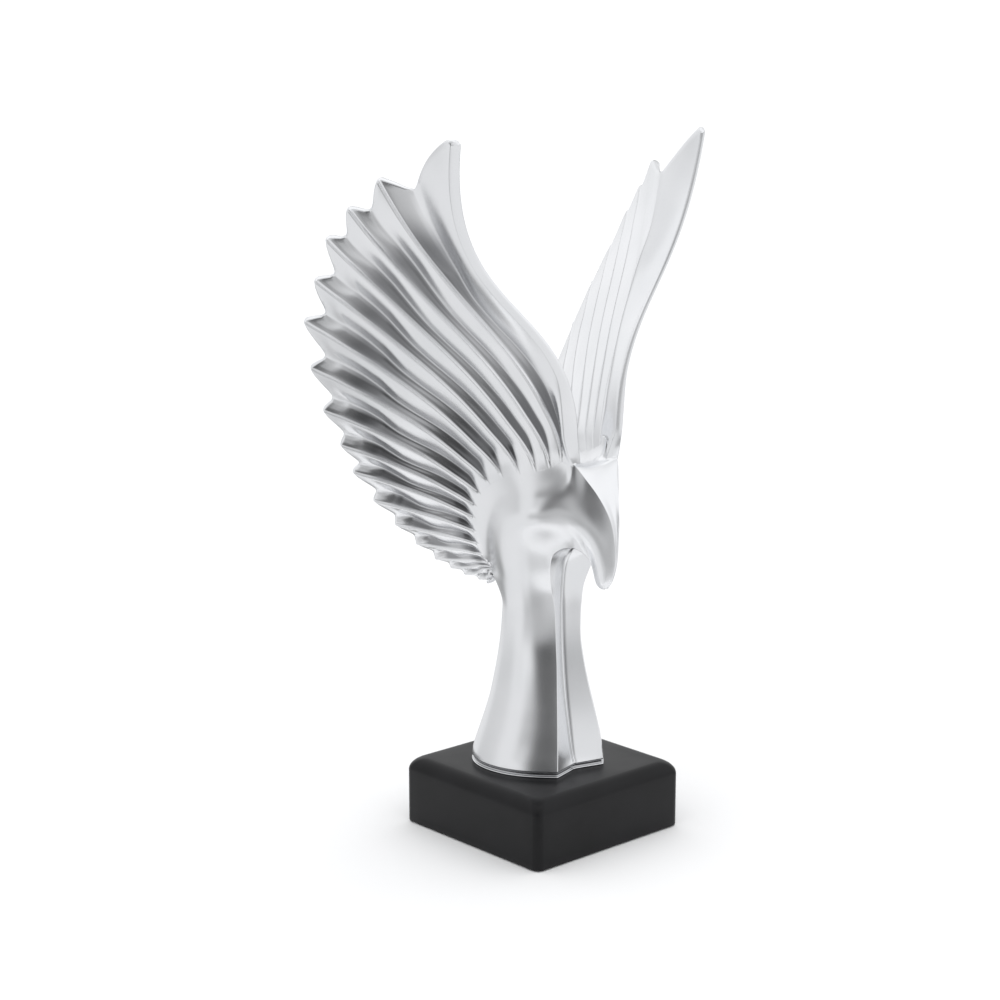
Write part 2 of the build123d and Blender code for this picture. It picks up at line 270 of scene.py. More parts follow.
def merge_and_orient(obj, distance=0.00002):
    """Weld coincident points, drop slivers and turn every face outward."""
    work = bmesh.new()
    work.from_mesh(obj.data)
    bmesh.ops.remove_doubles(work, verts=work.verts, dist=distance)
    bmesh.ops.dissolve_degenerate(work, edges=work.edges, dist=distance / 2)
    bmesh.ops.recalc_face_normals(work, faces=work.faces)
    if work.calc_volume(signed=True) < 0:
        bmesh.ops.reverse_faces(work, faces=work.faces)
    work.to_mesh(obj.data)
    work.free()


def grid_faces(rows, columns, closed=False):
    faces = []
    for i in range(rows - 1):
        for j in range(columns if closed else columns - 1):
            k = (j + 1) % columns
            faces.append((i * columns + j, i * columns + k,
                          (i + 1) * columns + k, (i + 1) * columns + j))
    return faces


# ---- figure body --------------------------------------------------------------------------

def edge_crowded(count, near):
    """Parameters from 0 to 1 with extra ones close to both ends."""
    inner = np.linspace(near[-1], 1 - near[-1], count)
    return np.concatenate([near[:-1], inner, 1 - np.array(near[:-1])[::-1]])


def body_half_rings(sections, places):
    """Outline of each section from the throat round to the middle of the back."""
    throat, arris, side, corner, back = np.moveaxis(sections, 1, 0)
    right = np.array([1.0, 0.0, 0.0])
    attached = ((smoothstep(0.0, 0.5, places) * (1 - smoothstep(13.4, 14.9, places)))
                * (places >= 0))[:, None]
    safe_places = np.clip(places, 0, 16.9)
    wing_way = root_direction(safe_places)
    wing_out = fan_directions(safe_places, np.full(len(places), 0.03))[2]

    across = corner - arris
    across[:, 0] = 0
    side_way = unit(across)
    upright = smoothstep(len(COLUMN_ROWS) - 2, len(COLUMN_ROWS) + 3, row_index)[:, None]
    arris_way = unit((0.75 - 0.47 * upright) * right + (0.66 + 0.28 * upright) * side_way)
    headness = smoothstep(0.0, 1.0, HEADNESS)[:, None]
    turn = 0.95 * (1 - headness) + 0.30 * headness
    free_way = unit(side_way - turn * right)
    held_way = unit(unit(corner - side) + wing_way)
    corner_way = unit(free_way * (1 - attached) + held_way * attached)

    def chord(a, b):
        return SIDE_BULGE * np.linalg.norm(b - a, axis=1, keepdims=True)

    lower = chord(arris, side)
    upper = chord(side, corner)
    first = [arris, arris + arris_way * lower, side - side_way * lower, side]
    second = [side, side + side_way * upper, corner - corner_way * upper, corner]

    # the far side: hidden under the wing's root first, then down to the middle
    thickness = root_thickness(safe_places)[:, None]
    to_back = back - corner
    free_step = corner + 0.12 * to_back
    held_step = corner + wing_way * 9.0 - wing_out * (thickness - 0.25)
    step = free_step * (1 - attached) + held_step * attached
    back_way = unit(free_way * (1 - headness) + unit(to_back) * headness)
    leave_way = unit(back_way * (1 - attached) - wing_way * attached)
    span = np.linalg.norm(back - step, axis=1, keepdims=True)
    third = [step, step + leave_way * span * 0.42, back + right * span * 0.42, back]

    near = [0, 0.012, 0.03, 0.06]
    front = np.array([0, 0.25, 0.5, 0.75, 1.0, 1.35, 1.8, 2.6])
    rings = []
    half_width = np.maximum(np.linalg.norm(arris - throat, axis=1, keepdims=True), 0.4)
    ways = unit(arris - throat)
    for d in front:
        rings.append(throat + ways * np.minimum(d, half_width * 0.28 * d / 2.6))
    for share in (0.36, 0.48, 0.6, 0.72, 0.84, 0.92, 0.97, 0.988):
        rings.append(throat + (arris - throat) * share)
    for t in edge_crowded(18, near)[:-3]:
        rings.append(bezier(first, t))
    for t in np.linspace(0.97, 1, 2):
        rings.append(bezier(first, t))
    for t in np.linspace(0, 1, 20)[1:-1]:
        rings.append(bezier(second, t))
    for t in (0.97, 0.988, 0.997, 1.0):
        rings.append(bezier(second, t))
    for t in (0.04, 0.1, 0.35, 0.65):
        rings.append(corner + (step - corner) * t)
    for t in np.linspace(0, 1, 24):
        rings.append(bezier(third, t))
    return np.stack(rings, 1)


all_sections = ([column_section(r) for r in COLUMN_ROWS]
                + [shoulder_section(r) for r in SHOULDER_ROWS]
                + [head_section(r) for r in HEAD_ROWS])
# place on the fan for each section, and how far the outline has turned into the head
section_places = ([-1.0] * len(COLUMN_ROWS) + [r[8] for r in SHOULDER_ROWS]
                  + [0.0] * len(HEAD_ROWS))
section_headness = ([0.0] * (len(COLUMN_ROWS) + len(SHOULDER_ROWS) - 1) + [0.6]
                    + [1.0] * len(HEAD_ROWS))
packed = np.concatenate([np.array(all_sections, float).reshape(len(all_sections), 15),
                         np.array(section_headness)[:, None]], axis=1)
smooth_rows = catmull_rom(packed, BODY_ROWS_PER_SECTION)
SECTIONS = smooth_rows[:, :15].reshape(-1, 5, 3)
HEADNESS = smooth_rows[:, 15]
row_index = np.linspace(0, len(all_sections) - 1, len(SECTIONS))
PLACES = np.interp(row_index, range(len(all_sections)), section_places)
first_held = len(COLUMN_ROWS)
PLACES[row_index < first_held] = 17.0


def make_figure():
    half = swell(soften_rows(body_half_rings(SECTIONS, PLACES)))
    # the bead up the middle of the throat
    heights = half[:, 0, 2]
    bead = THROAT_BEAD * smoothstep(37.5, 40.0, heights) * (1 - smoothstep(0.15, 0.9, HEADNESS))
    beside = half[:, :8, 0]
    half[:, :8, 1] -= bead[:, None] * (np.exp(-(beside / 0.42) ** 2)
                                       - 0.35 * np.exp(-((beside - 1.0) / 0.3) ** 2))
    # painted shade beside the bead and painted shadow under the edge of the arch
    ring = np.arange(half.shape[1])
    arch = (smoothstep(first_held + 1.2, first_held + 3, row_index)
            * (1 - smoothstep(first_held + 8, first_held + 11, row_index)))
    painted_shade = ARCH_PAINTED_SHADE * arch[:, None] * smoothstep(6, 15, ring) * (ring < 16)
    painted_shade[:, :8] += ((BEAD_PAINTED_SHADE * (bead / THROAT_BEAD))[:, None]
                       * np.exp(-((beside - 1.0) / 0.35) ** 2))
    # foot: bead and shadow groove below the first section
    foot = half[0]
    centre = np.array([0, 2.0, 0])
    rows = []
    for z, share in ((35.3, 0.99), (35.4, 1.0), (36.0, 1.0), (36.15, 0.992), (36.2, 0.97),
                     (37.0, 0.965), (38.0, 0.97), (38.25, 0.985), (38.4, 0.996)):
        ring = centre + (foot - centre) * share
        ring[:, 0] = foot[:, 0] * share
        ring[:, 2] = z
        rows.append(ring)
    half = np.concatenate([np.array(rows), half])
    mirrored = half[:, 1:-1][:, ::-1] * np.array([-1, 1, 1])
    rings = np.concatenate([half, mirrored], axis=1)
    # painted shade in the foot's groove, one value for each ring of the foot
    foot_painted_shade = np.repeat(np.array(FOOT_PAINTED_SHADE)[:, None], painted_shade.shape[1], axis=1)
    painted_shade = np.concatenate([foot_painted_shade, painted_shade])
    painted_shade = np.concatenate([painted_shade, painted_shade[:, 1:-1][:, ::-1]], axis=1)
    count, width = rings.shape[:2]
    vertices = rings.reshape(-1, 3).tolist()
    faces = grid_faces(count, width, closed=True)
    bottom = len(vertices)
    vertices.append((0, 2.0, 35.3))
    vertices.append(tuple(rings[-1].mean(axis=0) + np.array([0, 0, -0.25])))
    for j in range(width):
        k = (j + 1) % width
        faces.append((bottom, k, j))
        faces.append((bottom + 1, (count - 1) * width + j, (count - 1) * width + k))
    obj = make_object("figure_body_form", vertices, faces,
                      painted_shade=np.append(painted_shade.ravel(), [0, 0]))
    merge_and_orient(obj)
    return obj


# ---- wings ----------------------------------------------------------------------------------

def wing_samples():
    """For each column of the grid: gap number and how it is placed inside the gap."""
    columns = []
    for gap in range(FEATHER_COUNT - 1):
        extra = 10 if gap == 0 else 4
        columns += [(gap, "ridge", d) for d in (0, 0.17, 0.33, 0.48, 0.62, 0.8, 1.0)]
        columns += [(gap, "face", x) for x in np.linspace(0, 1, extra + 2)[1:-1]]
        columns += [(gap, "valley", x) for x in (-1, -0.45, 0, 0.45, 1)]
        columns += [(gap, "step", x) for x in (0.33, 0.67)]
        columns += [(gap, "next", d) for d in (1.0, 0.7, 0.45, 0.22)]
    columns.append((FEATHER_COUNT - 2, "next", 0.0))
    return columns


def gap_shares(gap, kind, value, rows, width):
    """Where a column lies between its two ridges (0 to 1), and where the groove lies."""
    ridge = np.minimum(RIDGE_BAND / width, 0.16)
    valley = (0.90 - 0.32 * smoothstep(0.0, 0.14, rows) + 0.21 * smoothstep(0.2, 0.6, rows)
              - 0.17 * smoothstep(0.62, 0.86, rows) + (0.06 if gap == 0 else 0.0))
    soft = np.minimum(0.9 / width, 0.06)
    if kind == "ridge":
        share = ridge * value
    elif kind == "face":
        share = ridge + (valley - soft - ridge) * value
    elif kind == "valley":
        share = valley + soft * value
    elif kind == "step":
        share = valley + soft + (1 - 0.6 * ridge - valley - soft) * value
    else:
        share = 1 - 0.6 * ridge * value
    return share, valley


def feather_ends(columns, shares, valleys):
    """How far along the fan each column runs: pointed feathers with softened tips."""
    ends, spots = [], []
    for (gap, _, _), share, valley in zip(columns, shares, valleys):
        f, edge = share[-1], valley[-1]
        tip = TIP_LENGTHS[gap] + (TIP_LENGTHS[gap + 1] - TIP_LENGTHS[gap]) * f
        if f <= edge:
            drop = (f / edge) ** (2.1 if gap == 0 else 1.05)
        else:
            drop = 1 - ((f - edge) / (1 - edge)) ** 1.5
        notch = NOTCH_LENGTH - (0.02 if gap > 7 else 0) + (0.02 if gap < 3 else 0)
        ends.append(tip + (notch - tip) * drop)
        place = RIDGE_PLACES[gap] + (RIDGE_PLACES[gap + 1] - RIDGE_PLACES[gap]) * f
        spots.append(fan_point(np.array(place), 1.0))
    ends, spots = np.array(ends), np.array(spots)
    travel = np.concatenate([[0], np.cumsum(np.linalg.norm(np.diff(spots, axis=0), axis=1))])
    room = np.gradient(travel)
    near = np.exp(-((travel[:, None] - travel[None]) / (1.41 * TIP_SOFTNESS)) ** 2) * room[None]
    softened = (near * ends[None]).sum(1) / near.sum(1)
    keep = smoothstep(0.0, 6.0, np.minimum(travel, travel[-1] - travel))
    corner = FRONT_CORNER * np.clip(1 - travel / 4.5, 0, 1) ** 2
    return ends * (1 - keep) + softened * keep - corner - RIM_REACH


def wing_surface():
    """Outer skin, inner skin, the directions they need and the painted shade of each skin, as rows
    by columns.
    """
    columns = wing_samples()
    rows = np.concatenate([[0], np.linspace(0.001, 0.12, 14)[:-1],
                           np.linspace(0.12, 1, WING_ROWS - 14)])
    widths, shares, valleys = [], [], []
    for gap, kind, value in columns:
        start, end = RIDGE_PLACES[gap], RIDGE_PLACES[gap + 1]
        width = np.linalg.norm(fan_point(np.full(len(rows), end), rows)
                               - fan_point(np.full(len(rows), start), rows), axis=1)
        width = np.maximum(width, 0.3)
        share, valley = gap_shares(gap, kind, value, rows, width)
        widths.append(width)
        shares.append(share)
        valleys.append(valley)
    ends = feather_ends(columns, shares, valleys)

    root = smoothstep(0.0, 0.05, rows)
    outer_part = smoothstep(0.35, 0.8, rows)
    outer, inner, ahead_of, out_of, painted_shade_outside, painted_shade_inside = [], [], [], [], [], []
    for (gap, _, _), width, f, valley, end_s in zip(columns, widths, shares, valleys, ends):
        start, end = RIDGE_PLACES[gap], RIDGE_PLACES[gap + 1]
        place = start + (end - start) * f
        slope = (0.50 + 0.45 * smoothstep(0.2, 0.6, rows) - 0.12 * smoothstep(0.6, 0.8, rows)
                 - 0.42 * smoothstep(0.84, 0.98, rows)
                 - 0.17 * (1 - smoothstep(1.0, 4.5, place)) * (1 - smoothstep(0.3, 0.5, rows)))
        depth = np.minimum(slope * (1 - valley) * width, GROOVE_DEPTH) * root
        # from ridge to groove and up again, the groove rounded towards the tips
        falling = (f / valley) ** (1.05 + 0.35 * outer_part)
        rising = (1 - f) / (1 - valley)
        rounding = 0.1 + 0.6 * outer_part
        overlap = np.maximum(rounding - np.abs(falling - rising), 0) / rounding
        relief = np.minimum(falling, rising) - overlap ** 2 * rounding / 4
        bead_size = np.minimum(FEATHER_BEAD, 0.06 * width) * root
        narrow = np.minimum(1, width / 6)
        from_ridge = np.minimum(f, 1 - f) * width
        if gap == 0:
            from_ridge = (1 - f) * width
        bead = np.exp(-(from_ridge / (0.38 * narrow)) ** 2)
        beside = np.exp(-((from_ridge - 0.95 * narrow) / (0.24 * narrow)) ** 2)
        height = bead_size * (bead - 0.55 * beside) - depth * relief

        root_s = -0.12 * smoothstep(11.5, 17.0, place[-1])
        s = root_s + (end_s - root_s) * rows
        base = fan_point(place, s)
        ahead, across, out = fan_directions(place, s)
        # leave the shoulder along the direction that its own surface arrives in
        reach = 3 * np.linalg.norm(feather_controls(place)[1] - feather_controls(place)[0],
                                   axis=1, keepdims=True)
        arrive = np.stack([np.interp(place, ARRIVE_PLACES, ARRIVE_WAYS[:, c])
                           for c in range(3)], 1)
        ease = np.clip(1 - s / 0.2, 0, 1)[:, None] ** 2 * s[:, None]
        base = base + (unit(arrive) - root_direction(place)) * reach * ease
        total = root_thickness(place) * (1 - rows) + TIP_THICKNESS * rows
        total = total - 1.2 * smoothstep(0.1, 0.5, rows) * (1 - rows)
        # the leading edge is a flat band: outer skin moved outward, inner skin inward
        band = (1 - smoothstep(0.0, 0.9, place))[:, None]
        near_brow = (1 - smoothstep(0.0, 0.07, rows))[:, None]
        medial = np.array([-1.0, 0.0, 0.0])
        medial = unit(medial - ahead * (ahead * medial).sum(-1, keepdims=True))
        inner_edge = (base + medial * (1.5 + 6.0 * near_brow)
                      + np.array([0, 3.0, -7.0]) * near_brow)
        from_groove = np.abs(f - valley) * width
        seam = INNER_SEAM * np.exp(-(from_groove / 0.5) ** 2) * smoothstep(0.03, 0.12, rows)
        inside = base - out * (total + 0.42 * depth * relief + seam)[:, None]
        inside = inside * (1 - band) + inner_edge * band
        sweep = ((1 - np.clip(1 - rows / 0.08, 0, 1) ** 2)
                 * (1 - 0.38 * smoothstep(0.1, 0.24, rows)))[:, None]
        base = base + band * sweep * np.array(LEADING_SHIFT)
        # the inner skin starts well inside the shoulder
        sink = (1 - smoothstep(0.0, 0.075, rows))[:, None] * smoothstep(0.2, 2.4, place)[:, None]
        inside = inside - root_direction(place) * ROOT_SINK * sink
        # painted shade: dark streaks painted on the step side of each groove outside and thin dark
        # lines along the grooves inside, standing in for dark reflections and shade
        near_ridge = (1 - f) * width
        side = (smoothstep(valley - 0.1, valley + 0.06, f)
                * smoothstep(0.4 * narrow, 1.0 * narrow, near_ridge))
        along = (smoothstep(0.0, 0.06, rows) * (1 - smoothstep(0.82, 0.95, rows))
                 * (0.9 - 0.4 * smoothstep(0.2, 0.4, rows) + 0.3 * smoothstep(0.5, 0.7, rows)))
        painted_shade_outside.append(side * along)
        painted_shade_inside.append(0.5 * np.exp(-(from_groove / 0.4) ** 2)
                           * smoothstep(0.05, 0.15, rows) * (1 - smoothstep(0.7, 0.95, rows)))
        outer.append(base + out * height[:, None])
        inner.append(inside)
        ahead_of.append(ahead)
        out_of.append(out)
    return [np.stack(x, 1) for x in (outer, inner, ahead_of, out_of, painted_shade_outside,
                                     painted_shade_inside)]


def make_wing(name, sign):
    outer, inner, ahead, out, painted_shade_outside, painted_shade_inside = wing_surface()
    count, width = outer.shape[:2]
    inner[..., 0] = np.maximum(inner[..., 0], 0.25)
    outer[..., 0] = np.maximum(outer[..., 0], 0.5)
    # closed loops: outer skin, tail strip, inner skin, front strip
    strips = []
    for edge in (width - 1, 0):
        a = outer[:, edge] if edge else inner[:, edge]
        b = inner[:, edge] if edge else outer[:, edge]
        bulge = -0.5 if edge == 0 else 0.6
        way = np.cross(ahead[:, edge], out[:, edge])
        strip = [a + (b - a) * t - way * bulge * 4 * t * (1 - t) * (-1 if edge == 0 else 1)
                 for t in (0.04, 0.1, 0.3, 0.5, 0.7, 0.9, 0.96)]
        strips.append(np.stack(strip, 1))
    loop = np.concatenate([outer, strips[0], inner[:, ::-1], strips[1]], axis=1)
    around = loop.shape[1]
    plain = np.zeros((count, strips[0].shape[1]))
    # painted shade on the outer and inner skins, none on the strips
    painted_shade = np.concatenate([painted_shade_outside, plain, painted_shade_inside[:, ::-1], plain], axis=1)
    vertices = loop.reshape(-1, 3).tolist()
    faces = grid_faces(count, around, closed=True)

    # rounded rim beyond the last row, and a cap at the root hidden in the shoulder
    top_outer, top_inner = outer[-1], inner[-1]
    half = np.linalg.norm(top_outer - top_inner, axis=1, keepdims=True) / 2
    middle = (top_outer + top_inner) / 2
    out_way = unit(top_outer - top_inner)
    rim = []
    for angle in np.radians((72, 50, 26, 0, -26, -50, -72)):
        rim.append(middle + out_way * half * math.sin(angle)
                   + ahead[-1] * np.minimum(half, 1.7) * 0.9 * math.cos(angle))
    first = len(vertices)
    for ring in rim:
        vertices += ring.tolist()
    outer_ids = [(count - 1) * around + j for j in range(width)]
    inner_start = (count - 1) * around + width + strips[0].shape[1]
    inner_ids = [inner_start + (width - 1 - j) for j in range(width)]
    chains = [outer_ids] + [[first + r * width + j for j in range(width)]
                            for r in range(len(rim))] + [inner_ids]
    for upper, lower in zip(chains, chains[1:]):
        for j in range(width - 1):
            faces.append((upper[j], upper[j + 1], lower[j + 1], lower[j]))
    base_strip = (count - 1) * around
    tail_ids = [base_strip + width + j for j in range(strips[0].shape[1])]
    front_ids = [inner_start + width + j for j in range(strips[1].shape[1])]
    faces.append(tuple([chains[r][-1] for r in range(len(chains))] + tail_ids[::-1]))
    faces.append(tuple([chains[r][0] for r in range(len(chains))][::-1]
                       + front_ids[::-1]))
    for j in range(width - 1):
        low = width + strips[0].shape[1] + (width - 1 - j)
        faces.append((j, j + 1, low - 1, low))
    root_tail = [width + j for j in range(strips[0].shape[1])]
    root_inner = width + strips[0].shape[1]
    faces.append(tuple([width - 1] + root_tail + [root_inner]))
    root_front = [root_inner + width + j for j in range(strips[1].shape[1])]
    faces.append(tuple([root_inner + width - 1] + root_front + [0]))
    vertices = swell(np.array(vertices)) * np.array([sign, 1, 1])
    painted_shade = np.concatenate([painted_shade.ravel(), np.zeros(len(vertices) - painted_shade.size)])
    obj = make_object(name, vertices, faces, painted_shade=painted_shade)
    merge_and_orient(obj)
    return obj


held = ((PLACES < 14.9) & (row_index >= first_held)
        & (row_index < first_held + len(SHOULDER_ROWS) + 0.05))
order = np.argsort(PLACES[held])
arriving = unit(unit(SECTIONS[held][:, 3] - SECTIONS[held][:, 2])
                + root_direction(np.clip(PLACES[held], 0, 16.9)))
ARRIVE_PLACES = PLACES[held][order]
ARRIVE_WAYS = arriving[order]


# ---- materials --------------------------------------------------------------------------------

def new_material(name):
    material = bpy.data.materials.new(name)
    material.use_nodes = True
    shader = material.node_tree.nodes["Principled BSDF"]
    return material, material.node_tree.nodes, material.node_tree.links, shader


def noise_node(nodes, links, scale, detail=2.0):
    coordinates = nodes.new("ShaderNodeTexCoord")
    noise = nodes.new("ShaderNodeTexNoise")
    noise.inputs["Scale"].default_value = scale
    noise.inputs["Detail"].default_value = detail
    links.new(coordinates.outputs["Object"], noise.inputs["Vector"])
    return noise


def colour_between(nodes, links, factor, low, high):
    ramp = nodes.new("ShaderNodeValToRGB")
    ramp.color_ramp.elements[0].position = 0.3
    ramp.color_ramp.elements[1].position = 0.7
    ramp.color_ramp.elements[0].color = (*low, 1)
    ramp.color_ramp.elements[1].color = (*high, 1)
    links.new(factor, ramp.inputs["Fac"])
    return ramp.outputs["Color"]


def number_between(nodes, links, factor, low, high):
    spread = nodes.new("ShaderNodeMapRange")
    spread.inputs["From Min"].default_value = 0.3
    spread.inputs["From Max"].default_value = 0.7
    spread.inputs["To Min"].default_value = low
    spread.inputs["To Max"].default_value = high
    links.new(factor, spread.inputs["Value"])
    return spread.outputs["Result"]


def add_bump(nodes, links, shader, height, strength, distance):
    bump = nodes.new("ShaderNodeBump")
    bump.inputs["Strength"].default_value = strength
    bump.inputs["Distance"].default_value = distance
    links.new(height, bump.inputs["Height"])
    links.new(bump.outputs["Normal"], shader.inputs["Normal"])


def finish_material(name, colours, metallic, roughness, scale, bump=(0.1, 0.0001), fine=None):
    """Base colour and roughness vary with a soft noise, with a fine grain as bump."""
    material, nodes, links, shader = new_material(name)
    broad = noise_node(nodes, links, scale)
    links.new(colour_between(nodes, links, broad.outputs["Fac"], *colours),
              shader.inputs["Base Color"])
    links.new(number_between(nodes, links, broad.outputs["Fac"], *roughness),
              shader.inputs["Roughness"])
    shader.inputs["Metallic"].default_value = metallic
    grain = noise_node(nodes, links, fine or scale * 20, 3.0)
    add_bump(nodes, links, shader, grain.outputs["Fac"], *bump)
    return material


# painted shade: darker silver painted into grooves and recesses, standing in for dark reflections
# and shadow there
PAINTED_SHADE_SILVER = (0.20, 0.203, 0.213)     # left dark in the recesses


def paint_shade_in_recesses(material):
    """Paint shade into the base colour: mix it with a darker silver by the painted shade stored at
    each point.
    """
    nodes, links = material.node_tree.nodes, material.node_tree.links
    base_colour = nodes["Principled BSDF"].inputs["Base Color"]
    bright = base_colour.links[0].from_socket
    amount = nodes.new("ShaderNodeAttribute")
    amount.attribute_name = "painted_shade"
    blend = nodes.new("ShaderNodeMix")
    blend.data_type = "RGBA"
    slots = {socket.name: socket for socket in blend.inputs if socket.type == "RGBA"}
    slots["B"].default_value = (*PAINTED_SHADE_SILVER, 1)
    links.new(amount.outputs["Fac"], blend.inputs["Factor"])
    links.new(bright, slots["A"])
    result = next(socket for socket in blend.outputs if socket.type == "RGBA")
    links.new(result, base_colour)


silver = finish_material("satin_silver", ((0.82, 0.83, 0.845), (0.88, 0.885, 0.90)), 1.0,
                         (0.20, 0.26), 30, bump=(0.06, 0.00008), fine=2600)
paint_shade_in_recesses(silver)
black = finish_material("black_lacquer", ((0.004, 0.004, 0.0045), (0.007, 0.007, 0.008)), 0.0,
                        (0.30, 0.38), 40, bump=(0.05, 0.00008), fine=1800)
black.node_tree.nodes["Principled BSDF"].inputs["Specular IOR Level"].default_value = 0.2
steel = finish_material("ground_steel", ((0.50, 0.50, 0.52), (0.62, 0.62, 0.64)), 1.0,
                        (0.28, 0.4), 300, fine=4000)
zinc = finish_material("zinc_plated_steel", ((0.48, 0.49, 0.50), (0.60, 0.60, 0.58)), 1.0,
                       (0.3, 0.42), 250, fine=4000)
brass = finish_material("machined_brass", ((0.68, 0.48, 0.20), (0.80, 0.60, 0.30)), 1.0,
                        (0.25, 0.38), 250, fine=4000)
felt = finish_material("black_felt", ((0.012, 0.012, 0.013), (0.035, 0.035, 0.038)), 0.0,
                       (0.85, 0.98), 900, bump=(0.6, 0.0003), fine=2500)


def dress(obj, material):
    obj.data.materials.clear()
    obj.data.materials.append(material)


# ---- base -----------------------------------------------------------------------------------

BLOCK_HALF = 50.0
BLOCK_FOOT = 0.4              # the block stands on its pad, this far above the surface
BLOCK_TOP = 35.3
BLOCK_CORNER = 4.2
TOP_SOFTNESS = 7.0            # radius of the soft top edges
CORNER_GROWTH = 0.35          # how much rounder the corners get as the top edge turns in
RECESS_HALF = 44.5
RECESS_TOP = 1.5
BORE_RADIUS = 10.0
BORE_TOP = 12.0
HOLE_RADIUS = 3.3
BEVEL = 0.1                   # at the edges of the recess and the holes
PAD_HALF = 44.0
PAD_CORNER = 4.0
PAD_THICKNESS = 1.5

def rounded_square(half_side, radius, height, per_corner=12, per_side=12):
    """Ring of a square with round corners, starting in the middle of the +X side."""
    points = []
    reach = half_side - radius
    for corner in range(4):
        turn = corner * math.pi / 2
        local = [(half_side, -reach + 2 * reach * t) for t in
                 np.linspace(0, 1, per_side + 1)[:-1]]
        local += [(reach + radius * math.cos(a), reach + radius * math.sin(a))
                  for a in np.linspace(0, math.pi / 2, per_corner + 1)[:-1]]
        points += [(x * math.cos(turn) - y * math.sin(turn),
                    x * math.sin(turn) + y * math.cos(turn), height) for x, y in local]
    return np.array(points)


def circle_ring(radius, height, like):
    """Circle with the same number of points as a ring, facing the same ways."""
    flat = unit(like * np.array([1, 1, 0]))
    return flat * radius + np.array([0, 0, height])


def make_block():
    """Block with soft edges, its pad recess, counterbore and screw hole."""
    corner = BLOCK_CORNER
    rows = [rounded_square(BLOCK_HALF - 0.8, corner - 0.5, BLOCK_FOOT),
            rounded_square(BLOCK_HALF - 0.25, corner - 0.2, BLOCK_FOOT + 0.25),
            rounded_square(BLOCK_HALF, corner, BLOCK_FOOT + 0.8)]
    straight_top = BLOCK_TOP - TOP_SOFTNESS
    rows += [rounded_square(BLOCK_HALF, corner, z) for z in np.linspace(4, straight_top, 8)]
    for a in np.radians(np.linspace(7.5, 90, 12)):
        inset = TOP_SOFTNESS * (1 - math.cos(a))
        rows.append(rounded_square(BLOCK_HALF - inset, corner + CORNER_GROWTH * inset,
                                   straight_top + TOP_SOFTNESS * math.sin(a)))
    top_corner = corner + CORNER_GROWTH * TOP_SOFTNESS
    rows += [rounded_square(s, top_corner, BLOCK_TOP) for s in (40, 36, 30, 22, 14)]
    innermost = rows[-1]
    # down the screw hole, out to the counterbore and out again to the recess
    profile = [(6, BLOCK_TOP), (HOLE_RADIUS + BEVEL, BLOCK_TOP), (HOLE_RADIUS, BLOCK_TOP - BEVEL),
               (HOLE_RADIUS, 24), (HOLE_RADIUS, BORE_TOP + BEVEL), (HOLE_RADIUS + BEVEL, BORE_TOP),
               (BORE_RADIUS - BEVEL, BORE_TOP), (BORE_RADIUS, BORE_TOP - BEVEL),
               (BORE_RADIUS, RECESS_TOP + BEVEL), (BORE_RADIUS + BEVEL, RECESS_TOP)]
    rows += [circle_ring(radius, z, innermost) for radius, z in profile]
    rows += [rounded_square(s, corner, RECESS_TOP) for s in (20, 32, RECESS_HALF - BEVEL)]
    rows += [rounded_square(RECESS_HALF, corner, RECESS_TOP - BEVEL),
             rounded_square(RECESS_HALF, corner, BLOCK_FOOT + BEVEL),
             rounded_square(RECESS_HALF + BEVEL, corner, BLOCK_FOOT)]
    rings = np.array(rows)
    count, width = rings.shape[:2]
    faces = grid_faces(count, width, closed=True)
    faces += [((count - 1) * width + j, (count - 1) * width + (j + 1) % width,
               (j + 1) % width, j) for j in range(width)]
    obj = make_object("base_block_form", rings.reshape(-1, 3), faces)
    merge_and_orient(obj)
    return obj


def make_pad():
    """Felt pad: slightly soft outer edge, tiny nap on the face."""
    rng = np.random.default_rng(7)

    def square(half_side, height):
        return rounded_square(half_side, min(PAD_CORNER, half_side * 0.4), height)

    def middle(height):
        return circle_ring(0.4, height, square(10, 0))

    # over the glued side, round the edge and back along the face that meets the surface
    inner = [8, 16, 24, 32, 40]
    rows = [middle(PAD_THICKNESS)]
    rows += [square(s, PAD_THICKNESS) for s in inner + [PAD_HALF - 0.4]]
    rows += [square(PAD_HALF - 0.1, PAD_THICKNESS - 0.2), square(PAD_HALF, 0.8),
             square(PAD_HALF - 0.1, 0.25)]
    face = len(rows) + 1
    rows += [square(s, 0.0) for s in [PAD_HALF - 0.5] + inner[::-1]]
    rows.append(middle(0.0))
    rings = np.array(rows)
    rings[face:-1, :, 2] += rng.uniform(0, 0.05, rings[face:-1, :, 2].shape)
    count, width = rings.shape[:2]
    faces = grid_faces(count, width, closed=True)
    faces.append(tuple(range(width)))
    faces.append(tuple((count - 1) * width + j for j in reversed(range(width))))
    obj = make_object("base_pad_felt", rings.reshape(-1, 3), faces)
    merge_and_orient(obj)
    return obj


# ---- put the pieces together --------------------------------------------------------------------

figure = make_figure()
left_wing = make_wing("left_wing_feathers", 1)
right_wing = make_wing("right_wing_feathers", -1)
block = make_block()
pad = make_pad()
for piece, node, material in ((figure, "figure_body", silver), (left_wing, "left_wing", silver),
                              (right_wing, "right_wing", silver), (block, "base_block", black),
                              (pad, "base_pad", felt)):
    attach(piece, "root")
    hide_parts(node)
    dress(piece, material)

for node, material in (("left_wing_pins", steel), ("right_wing_pins", steel),
                       ("locating_pins", steel), ("foot_insert", brass),
                       ("fixing_screw", zinc), ("fixing_washer", zinc)):
    dress(bpy.data.objects[node], material)


# ---- floor, light and camera ----------------------------------------------------------------------

